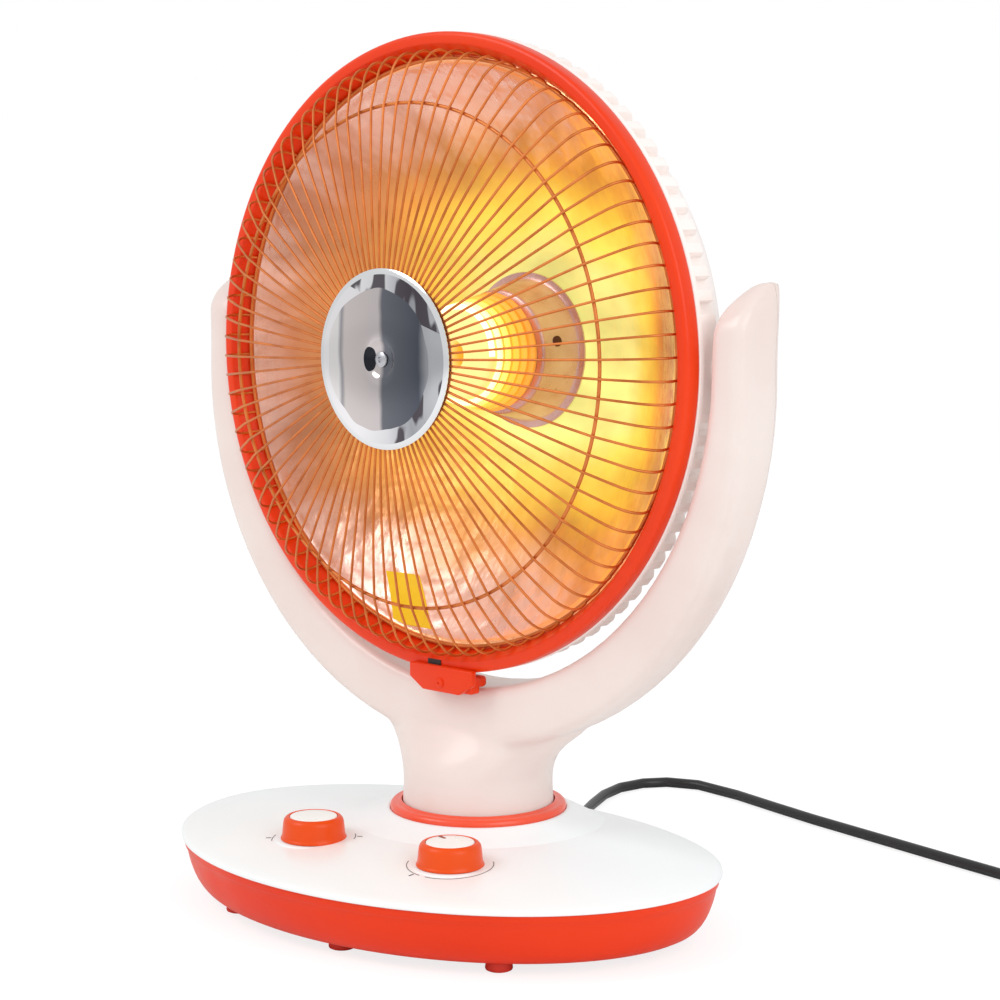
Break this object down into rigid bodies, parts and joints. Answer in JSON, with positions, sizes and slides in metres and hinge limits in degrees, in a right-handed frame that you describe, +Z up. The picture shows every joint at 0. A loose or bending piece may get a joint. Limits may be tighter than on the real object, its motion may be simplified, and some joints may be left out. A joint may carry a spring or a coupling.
{
  "type": "parabolic heater",
  "caption": "Parabolic electric heater: a dished reflector with a wound heating element behind a wire guard, held in a yoke that swivels on an oval base with timer and mode knobs.",
  "frame": {"origin": "on the floor, under the middle of the object, at the middle of the base's widest line", "axes": "+X to the right seen from the front, +Y to the back, +Z up"},
  "size_m": [0.6062, 0.455, 0.4993],
  "materials": {
    "white_plastic": "gloss",
    "orange_plastic": "gloss",
    "black_rubber": "satin",
    "foot_rubber": "matt",
    "dark_plastic": "matt",
    "brown_fibre": "matt",
    "steel": "brushed",
    "chrome": "polished",
    "reflector_aluminium": "polished",
    "copper_wire": "satin",
    "cup_metal": "polished",
    "ceramic": "matt",
    "glowing_wire": "glowing",
    "brass": "bright"
  },
  "bodies": {
    "base": {"base_shell": "orange_plastic", "top_plate": "white_plastic", "ballast_plate": "steel", "foot_pad_1": "foot_rubber", "foot_pad_2": "foot_rubber", "foot_pad_3": "foot_rubber", "foot_pad_4": "foot_rubber", "foot_pad_5": "foot_rubber", "case_screw_1": "steel", "case_screw_2": "steel", "case_screw_3": "steel", "case_screw_4": "steel", "cord_gland": "black_rubber", "timer_body": "dark_plastic", "mode_body": "dark_plastic", "tip_switch_body": "dark_plastic", "collar_ring": "orange_plastic", "bearing_sleeve": "dark_plastic", "oscillation_motor": "steel", "cord": "black_rubber", "cord_coil": "black_rubber", "plug_body": "black_rubber", "plug_pin_left": "brass", "plug_pin_right": "brass"},
    "timer": {"timer_knob": "orange_plastic", "timer_knob_cap": "white_plastic", "timer_shaft": "steel"},
    "mode": {"mode_knob": "orange_plastic", "mode_knob_cap": "white_plastic", "mode_shaft": "steel"},
    "plunger": {"tip_plunger": "white_plastic"},
    "pinion": {"motor_pinion": "white_plastic"},
    "yoke": {"yoke_shell": "white_plastic", "yoke_back_cover": "white_plastic", "swivel_disc": "dark_plastic", "disc_screw_1": "steel", "disc_screw_2": "steel", "friction_bush_left": "brown_fibre", "friction_bush_right": "brown_fibre"},
    "head": {"rear_casing": "white_plastic", "reflector": "reflector_aluminium", "front_ring": "orange_plastic", "wire_guard": "copper_wire", "guard_support_ring": "copper_wire", "guard_cap": "chrome", "guard_back_plate": "steel", "guard_cap_screw": "steel", "ring_clip": "orange_plastic", "ring_clip_screw": "steel", "ceramic_core": "ceramic", "heating_coil": "glowing_wire", "element_cup": "cup_metal", "element_insulator": "ceramic", "element_bracket": "steel", "element_terminal_left": "brass", "element_terminal_right": "brass", "tie_rod_lower": "steel", "tie_rod_upper": "steel", "pivot_bolt_left": "steel", "pivot_bolt_right": "steel"}
  },
  "joints": [
    {"name": "yoke_swivel", "type": "hinge", "parent": "base", "child": "yoke", "pos_m": [0, 0.02956, 0.05], "axis": [0, 0, 1], "range_deg": [-28, 42]},
    {"name": "head_tilt", "type": "hinge", "parent": "yoke", "child": "head", "pos_m": [0, 0.02956, 0.319], "axis": [-0.9928, 0.1201, 0], "range_deg": [0, 25]},
    {"name": "timer_turn", "type": "hinge", "parent": "base", "child": "timer", "pos_m": [-0.0484, -0.0628, 0.05], "axis": [0, 0, 1], "range_deg": [-300, 0]},
    {"name": "mode_turn", "type": "hinge", "parent": "base", "child": "mode", "pos_m": [0.0484, -0.0628, 0.05], "axis": [0, 0, 1], "range_deg": [-240, 0]},
    {"name": "tip_plunge", "type": "slide", "parent": "base", "child": "plunger", "axis": [0, 0, -1], "range_m": [0, 0.005], "stiffness_N_per_m": 50, "springref_m": 0.01},
    {"name": "pinion_spin", "type": "hinge", "parent": "base", "child": "pinion", "pos_m": [0, -0.01544, 0.03], "axis": [0, 0, 1], "range_deg": [-212, 142]}
  ],
  "couplings": [
    {"joint": "pinion_spin", "follows": "yoke_swivel", "ratio": -5}
  ]
}
